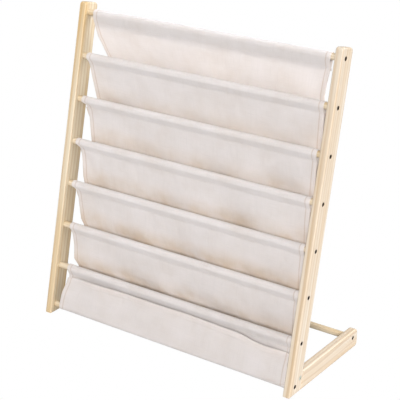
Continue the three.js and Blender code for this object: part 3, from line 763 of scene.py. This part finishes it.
# A row of sewing stitches: each is a short rounded rod of thread that lies on the cloth and dips into it at
# both ends. line and normal are (points, 3) along the seam, in mm.
def stitchRow(name, line, normal, half):
    s = stitches
    walked = np.concatenate([[0], np.cumsum(np.linalg.norm(np.diff(line, axis=0), axis=1))])

    def along(at, values):
        return np.column_stack([np.interp(at, walked, values[:, k]) for k in range(3)])

    at = np.arange(s["pitch"], walked[-1] - s["pitch"] / 2, s["pitch"])
    middle, up = along(at, line), along(at, normal)
    ahead = unit(along(at + s["lookAhead"], line) - middle)
    aside = np.cross(up, ahead)
    share = np.array(s["sectionShares"])
    width = np.array(s["radiusShares"]) * s["thick"] / 2
    lift = half + s["thick"] * (s["liftShare"] - s["dipShare"] * share ** 4)
    angle = np.arange(s["sides"]) * 2 * math.pi / s["sides"]
    points = (middle[:, None, None] + ahead[:, None, None] * (share * s["length"] / 2)[None, :, None, None]
              + up[:, None, None] * (lift[:, None] + width[:, None] * np.sin(angle))[None, ..., None]
              + aside[:, None, None] * (width[:, None] * np.cos(angle))[None, ..., None])
    starts = np.arange(len(at)) * len(share) * s["sides"]
    one = np.array(gridFaces(len(share), s["sides"], closed=True))
    faces = (one[None] + starts[:, None, None]).reshape(-1, 4)[:, ::-1].tolist()
    firstCap = np.arange(s["sides"])
    lastCap = (len(share) - 1) * s["sides"] + firstCap[::-1]
    faces += (firstCap[None] + starts[:, None]).tolist() + (lastCap[None] + starts[:, None]).tolist()
    return addPiece(name, points.reshape(-1, 3) * mm, faces, threadCotton, "canvas", sharpFrom=70)


# How far each point is along the cut cloth: across its width in even steps, and walked down its column
def flatPlaces(middle):
    step = np.linalg.norm(np.diff(middle, axis=0), axis=-1)
    down = np.concatenate([np.zeros((1, middle.shape[1])), np.cumsum(step, 0)])
    across = np.broadcast_to(np.linspace(0, canvas["width"], middle.shape[1]), down.shape)
    return np.stack([across, down], -1)


# How much thicker the cloth is on each side within a turned-in hem, at a distance from the hem's fold
def hemExtra(fromFold, hemWidth):
    fadeFrom, fadeTo = canvas["hemFade"]
    return canvas["hemExtra"] * (1 - smoothStep(fromFold, hemWidth + fadeFrom, hemWidth + fadeTo))


# Half the cloth's thickness: more in the turned-in hems at both sides
def halfThickness(across):
    fromEdge = np.minimum(across, canvas["width"] - across)
    return canvas["thickness"] / 2 + hemExtra(fromEdge, canvas["sideHem"])


shareAcross = np.linspace(0, 1, canvas["columns"] + 1)
columnX = canvas["width"] * (shareAcross - 0.5)


# Left, middle and right values blended smoothly across the cloth
def between(left, centre, right):
    return (centre + (left - centre) * (1 - smoothStep(shareAcross, 0, canvas["edgeBlend"]))
            + (right - centre) * smoothStep(shareAcross, 1 - canvas["edgeBlend"], 1))


def endsOn(number, inset=0):
    left, right = clothEnds[number]
    return left + inset + (right - left - 2 * inset) * shareAcross


def onRod(number):
    return rodPlaces[number] / mm


# Makes a cloth and its seams, which are {name: (row, half the cloth's thickness there)}, and hides the
# frame's part that it stands for
def hang(name, stoodFor, middle, uv, half, material, rodNames, seams):
    piece, normal = sheetPiece(name, middle, half, uv, material)
    sewn = [stitchRow(seam, middle[row], normal[row], lift) for seam, (row, lift) in seams.items()]
    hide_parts(stoodFor)


# A pocket's side view in each column: the tunnel on the upper rod, and a curve down the wall, through the
# belly behind the next rod and up to the seam behind that rod's tunnel
def pocketSide(number):
    c, look = canvas, pockets[number]
    upper, lower = onRod(number), onRod(number + 1)
    tunnel = tunnelLine(c["topStitchDrop"] if number == 1 else c["stitchDrop"]) + upper
    start = tunnel[-1]
    sag = c["sag"] * np.cos(math.pi * columnX / c["width"])
    depth = np.linalg.norm(upper - lower) - c["pocketRise"] + sag
    highBack, halfBack, lowBack = (between(*(look[key][k] for key in wallBacks)) for k in range(3))
    hollow = sum(deep * np.exp(-((columnX - at) / reach) ** 2) for at, reach, deep in look["hollows"])
    uneven = waves(columnX, 0 * columnX, c["seed"] + number, *waveKinds["walls"])
    startRow = np.broadcast_to(start, (len(columnX), 2))
    hangHeight = start[1] * (1 - c["hangShare"]) + lower[1] * c["hangShare"]
    hang = np.column_stack([start[0] + c["hangSetback"] + highBack, np.full_like(columnX, hangHeight)])
    rows = [np.column_stack([lower[0] + back * c["bulge"] + halfShare * halfBack + lowShare * lowBack
                             + hollowShare * hollow + waveShare * uneven, lower[1] - down * depth])
            for back, down, halfShare, lowShare, hollowShare, waveShare in pocketRowShares]
    sewnEnd = (lower[0] + 2 * c["layer"], lower[1] - rods["diameter"] / 2 - c["stitchDrop"] - c["seamGap"])
    sewnRow = np.broadcast_to(sewnEnd, startRow.shape)
    wall = catmullRom(np.stack([startRow, hang, *rows, sewnRow]), c["curveSteps"])
    tunnelRows = np.repeat(tunnel[:, None], len(columnX), 1)[:-1]
    # The hem behind the stitch line hangs back with the wall in front of it
    hem = tunnelRows[:c["hemRows"]]
    lean = (hang[:, 0] - start[0]) / (start[1] - hang[:, 1]) + c["hemStandOff"] / c["tunnelHem"]
    hem[..., 0] += np.maximum(start[1] - hem[..., 1], 0) * lean
    return tunnelRows, wall


# Moves a pocket's cloth along its normal: soft slanting folds of two spacings, gathers below the stitch line,
# and small crumples
def foldedCloth(number, middle, share):
    c, x = canvas, middle[..., 0]
    normal = unit(np.cross(np.gradient(middle, axis=0), np.gradient(middle, axis=1)))
    walked, seed = share * c["wallLength"], c["seed"] + 10 * number
    slant = c["foldSlant"] * share + number * c["foldShift"]
    wide = np.cos(2 * math.pi * (x / c["foldSpacing"] + slant))
    narrow = np.cos(2 * math.pi * (x / c["narrowFoldSpacing"] - slant))
    folds = -c["foldDepth"] * np.sin(math.pi * np.clip(share / c["foldEnd"], 0, 1)) * (wide + narrow) / 2
    gathered = window(share, c["gatherFrom"], c["gatherTo"])
    gathers = c["gather"] * waves(x, walked, seed + 1, *waveKinds["gathers"]) * gathered
    inWall = window(share, c["crumpleFrom"], c["crumpleTo"])
    crumples = c["crumple"] * waves(x, walked, seed + 2, *waveKinds["crumples"]) * inWall
    return middle + normal * (folds + gathers + crumples)[..., None]


# A pocket: its side views set side by side, from the cloth's ends on the upper rod to those on the lower one
def sling(number):
    c, look = canvas, pockets[number]
    tunnelRows, wall = pocketSide(number)
    side = np.concatenate([tunnelRows, wall])
    share = np.clip((np.arange(len(side)) - len(tunnelRows)) / (len(wall) - 1), 0, 1)[:, None]
    late = smoothStep(share, *c["lowerEnds"])
    x = (1 - late) * endsOn(number) + late * endsOn(number + 1, c["lowerInset"])
    # The sides step in just under the rod, where the cloth is no longer held out by it
    stepIn = smoothStep(onRod(number)[1] - side[..., 1], *c["stepIn"])
    leftDraw = stepIn * np.interp(share, c["drawAt"], look["draw"])
    rightDraw = stepIn * np.interp(share, c["drawAt"], look["drawRight"] * np.array(c["drawShares"]))
    x = x + leftDraw * (1 - shareAcross) - rightDraw * shareAcross
    middle = foldedCloth(number, np.concatenate([x[..., None], side], -1), share)
    uv = flatPlaces(middle)
    material = canvasMaterial(number, number * c["patternShift"], look["brownness"], look["tone"])
    hang(f"sling{number}Canvas", f"sling_{number}", middle, uv, halfThickness(uv[..., 0]), material,
         [f"rod{number}", f"rod{number + 1}"],
         {f"sling{number}Seam": (len(tunnelRows) - 1, c["thickness"] / 2)})


for number in pockets:
    sling(number)

# The lowest pocket: a back panel from the seventh rod, and a front panel with a free hem from the eighth
bottomPocket = {
    # tone is painted shade: the lowest pocket's cloth is drawn darker than the slings above
    "tone": 0.93, "rows": 52, "backRows": 26, "sideReach": 60, "hemDrop": 13, "hemSetback": 4.5,
    "hemWide": 10, "hemSeam": 8, "hemBlend": 17, "footSeamRow": 9, "backSag": 6, "backInset": 5,
    # Where unevenness starts and ends: shares of the way down the back panel, or up the front one
    "backLength": 60, "backCrumple": 0.5, "backCrumpleFrom": (0, 0.1), "backCrumpleTo": (0.85, 1),
    "backSeed": 977,
    "frontLength": 70, "slack": 0.8, "slackFrom": (0, 0.5), "slackSeed": 612,
    "frontCrumple": 0.3, "frontCrumpleFrom": (0.25, 0.5), "frontSeed": 613,
    # The free hem's height, from the left to the right end of the front panel
    "hemAcross": [-277, -251, -197, -93, 25, 106, 178, 209, 245, 270, 282],
    "hemHeights": [74.0, 81.5, 84.9, 85.5, 86.2, 84.9, 82.6, 76.4, 75.4, 74.5, 72.0],
}
lowest, seventh = onRod(8), onRod(7)
hemHeight = seventh[1] - bottomPocket["hemDrop"]
hemBack = (hemHeight - lowest[1]) * math.tan(leanAngle) - bottomPocket["hemSetback"]
frontTop = np.array([lowest[0] + hemBack, hemHeight])
away = frontTop - lowest
footAngle = math.atan2(away[1], away[0]) + math.acos(tunnelRadius / math.hypot(*away))
frontFoot = lowest + tunnelRadius * np.array([math.cos(footAngle), math.sin(footAngle)])
stitchHeight = lowest[1] + rods["diameter"] / 2 + canvas["stitchDrop"]
backTop = seventh + [-canvas["layer"] / 2, -rods["diameter"] / 2 - canvas["stitchDrop"]]
backFoot = stitchHeight + canvas["layer"]
sideShare = smoothStep(np.abs(columnX), canvas["width"] / 2 - bottomPocket["sideReach"], canvas["width"] / 2)


# How far back the straight front of the lowest pocket is at a height
def frontPlane(height):
    share = (height - frontFoot[1]) / (frontTop[1] - frontFoot[1])
    return frontFoot[0] + share * (frontTop[0] - frontFoot[0])


# The back panel: straight from its tunnel to the front panel's foot, sagging back between them
def backPlane(height):
    share = (backTop[1] - height) / (backTop[1] - backFoot)
    straight = backTop[0] + share * (frontPlane(backFoot) + 2 * canvas["layer"] - backTop[0])
    return straight + bottomPocket["backSag"] * np.sin(math.pi * np.clip(share, 0, 1)) * (1 - sideShare / 2)


# A tunnel's line repeated in every column, above the rows of a wall
def withTunnel(tunnel, wall):
    return np.concatenate([np.broadcast_to(tunnel[:, None], (len(tunnel), *wall.shape[1:])), wall])


# The canvas between the seventh rod and the foot of the front panel
def bottomBack():
    b = bottomPocket
    tunnel = tunnelLine(canvas["stitchDrop"]) + seventh
    height = np.linspace(backTop[1], backFoot, b["backRows"])[1:, None] + 0 * columnX
    side = withTunnel(tunnel, np.stack([backPlane(height), height], -1))
    share = np.clip((np.arange(len(side)) - len(tunnel) + 1) / len(height), 0, 1)[:, None]
    x = (1 - share) * endsOn(7) + share * endsOn(8, b["backInset"])
    middle = np.concatenate([x[..., None], side], -1)
    inWall = window(share, b["backCrumpleFrom"], b["backCrumpleTo"])
    crumples = waves(x, share * b["backLength"], b["backSeed"], *waveKinds["backCrumples"])
    middle[..., 1] += b["backCrumple"] * crumples * inWall
    uv = flatPlaces(middle)
    material = canvasMaterial(7, 2.9, tone=b["tone"])
    hang("bottomBackCanvas", "bottom_back_panel", middle, uv, halfThickness(uv[..., 0]), material, ["rod7"],
         {"bottomBackSeam": (len(tunnel) - 2, canvas["thickness"] / 2)})


# The free hem's height in each column: its drawn heights, evened out over the neighbouring columns
def freeHem():
    heights = np.interp(endsOn(8), bottomPocket["hemAcross"], bottomPocket["hemHeights"])
    kernel = np.hanning(bottomPocket["hemBlend"])
    padded = np.pad(heights, len(kernel) // 2, mode="edge")
    return np.convolve(padded, kernel / kernel.sum(), "valid")


# The front of the lowest pocket: hem end behind, round below the lowest rod, and up to a free hem. Near both
# sides it turns back to the back panel, and the free part hangs a little slack.
def bottomFront():
    b = bottomPocket
    stitch = np.array([frontPlane(stitchHeight) + canvas["layer"], stitchHeight])
    hemLean = frontPlane(stitchHeight + canvas["tunnelHem"]) - frontPlane(stitchHeight)
    hemEnd = stitch + [hemLean, canvas["tunnelHem"]]
    arc = aroundRod(stitch - lowest, frontTop - lowest, tunnelRadius, -1) + lowest
    tunnel = np.concatenate([*hemLine(hemEnd, stitch, arc[0]), arc])
    height = frontFoot[1] + np.linspace(0, 1, b["rows"])[1:, None] * (freeHem() - frontFoot[1])
    seamed = backPlane(height) - canvas["layer"]
    turnBack = sideShare * smoothStep(height, hemEnd[1], backTop[1] - canvas["tunnelHem"])
    side = withTunnel(tunnel, np.stack([frontPlane(height) * (1 - turnBack) + seamed * turnBack, height], -1))
    x = endsOn(8) + (endsOn(7) - endsOn(8)) * smoothStep(side[..., 1], lowest[1], seventh[1])
    middle = np.concatenate([x[..., None], side], -1)
    lift = np.clip((np.arange(len(side)) - len(tunnel)) / len(height), 0, 1)[:, None]
    walked = lift * b["frontLength"]
    slack = b["slack"] * smoothStep(lift, *b["slackFrom"])
    crumpled = b["frontCrumple"] * smoothStep(lift, *b["frontCrumpleFrom"])
    middle[..., 1] -= (slack * (1 + waves(x, walked, b["slackSeed"], *waveKinds["frontSlack"]))
                       + crumpled * waves(x, walked, b["frontSeed"], *waveKinds["frontCrumples"]))
    uv = flatPlaces(middle)
    fromHem = uv[-1:, :, 1] - uv[..., 1]
    half = halfThickness(uv[..., 0]) + hemExtra(fromHem, b["hemWide"])
    material = canvasMaterial(8, 3.4, tone=b["tone"])
    hemRow = int(np.argmin(np.abs(fromHem[:, len(columnX) // 2] - b["hemSeam"])))
    plain = canvas["thickness"] / 2
    hang("frontPocketCanvas", "front_pocket_panel", middle, uv, half, material, ["rod8"],
         {"frontPocketHemSeam": (hemRow, plain + canvas["hemExtra"]),
          "frontPocketFootSeam": (len(tunnel) + b["footSeamRow"], plain)})


bottomBack()
bottomFront()
print("canvas made")

# Camera, floor and light
viewpoint = {"azimuth": 35.607, "elevation": 22.275, "place": (1.3343, -1.8531, 1.2189), "lens": 112.78}


# Turns a camera or lamp to look from an azimuth and an elevation, in degrees, and adds it to the scene
def lookFrom(thing, azimuth, elevation):
    thing.rotation_euler = (math.radians(90 - elevation), 0, math.radians(azimuth))
    bpy.context.scene.collection.objects.link(thing)


cameraData = bpy.data.cameras.new("camera")
cameraData.lens, cameraData.sensor_width, cameraData.sensor_fit = viewpoint["lens"], 36.0, "HORIZONTAL"
cameraData.clip_end = 100
camera = bpy.data.objects.new("camera", cameraData)
camera.location = viewpoint["place"]
lookFrom(camera, viewpoint["azimuth"], viewpoint["elevation"])
bpy.context.scene.camera = camera

studio = {
    "floorDark": "#a4a4a4", "floor": "#aaaaa9", "floorGrain": 333.3, "floorHalf": 20000, "floorDrop": 0.4,
    "seen": "#ffffff", "sky": "#f4f6fa", "skyStrength": 0.36,
    # Broad soft lights: the way they come from (azimuth, height), how soft, strength, colour
    "lamps": [((27, 25), 22, 2.86, "#fdfafc"), ((100, 12), 30, 0.75, "#f4f6ff"),
              ((128, 47), 50, 2.6, "#f3f5ff")],
}


# Looked at directly floor and sky are plain white, as in a cut-out picture. To the shelf they are dim.
def seenWhite(tree, kind, dim, output):
    direct = node(tree, "LightPath").outputs["Is Camera Ray"]
    white = node(tree, kind, {"Color": linear(studio["seen"])}).outputs[0]
    shown = node(tree, "MixShader", links={0: direct, 1: dim.outputs[0], 2: white}).outputs[0]
    plug(tree, tree.nodes[output], links={"Surface": shown})


floorMaterial, floorTree, floorShader = newMaterial("studio sweep, matt paper")
floorPlace = node(floorTree, "TexCoord").outputs["Object"]
grain = noise(floorTree, floorPlace, size=studio["floorGrain"])["Fac"]
paper = ramp(floorTree, grain, (0.4, studio["floorDark"]), (0.6, studio["floor"]))
plug(floorTree, floorShader, {"Roughness": 0.9}, {"Base Color": paper})
seenWhite(floorTree, "Emission", floorShader, "Material Output")
floorCorners = np.array([(-1, -1), (1, -1), (1, 1), (-1, 1)]) * studio["floorHalf"] * mm
floorPoints = np.column_stack([floorCorners, np.full(4, -studio["floorDrop"] * mm)])
addPiece("studioFloor", floorPoints, [[0, 1, 2, 3]], floorMaterial, None)

world = bpy.data.worlds.new("studio")
bpy.context.scene.world = world
world.use_nodes = True
sky = world.node_tree.nodes["Background"]
plug(world.node_tree, sky, {"Color": linear(studio["sky"]), "Strength": studio["skyStrength"]})
seenWhite(world.node_tree, "Background", sky, "World Output")
for index, ((azimuth, height), softness, strength, colour) in enumerate(studio["lamps"]):
    data = bpy.data.lights.new(f"lamp{index + 1}", "SUN")
    data.angle, data.energy, data.color = math.radians(softness), strength, linear(colour)[:3]
    lookFrom(bpy.data.objects.new(f"lamp{index + 1}", data), azimuth, height)
bpy.context.scene.view_settings.view_transform = "Standard"
print("studio made")
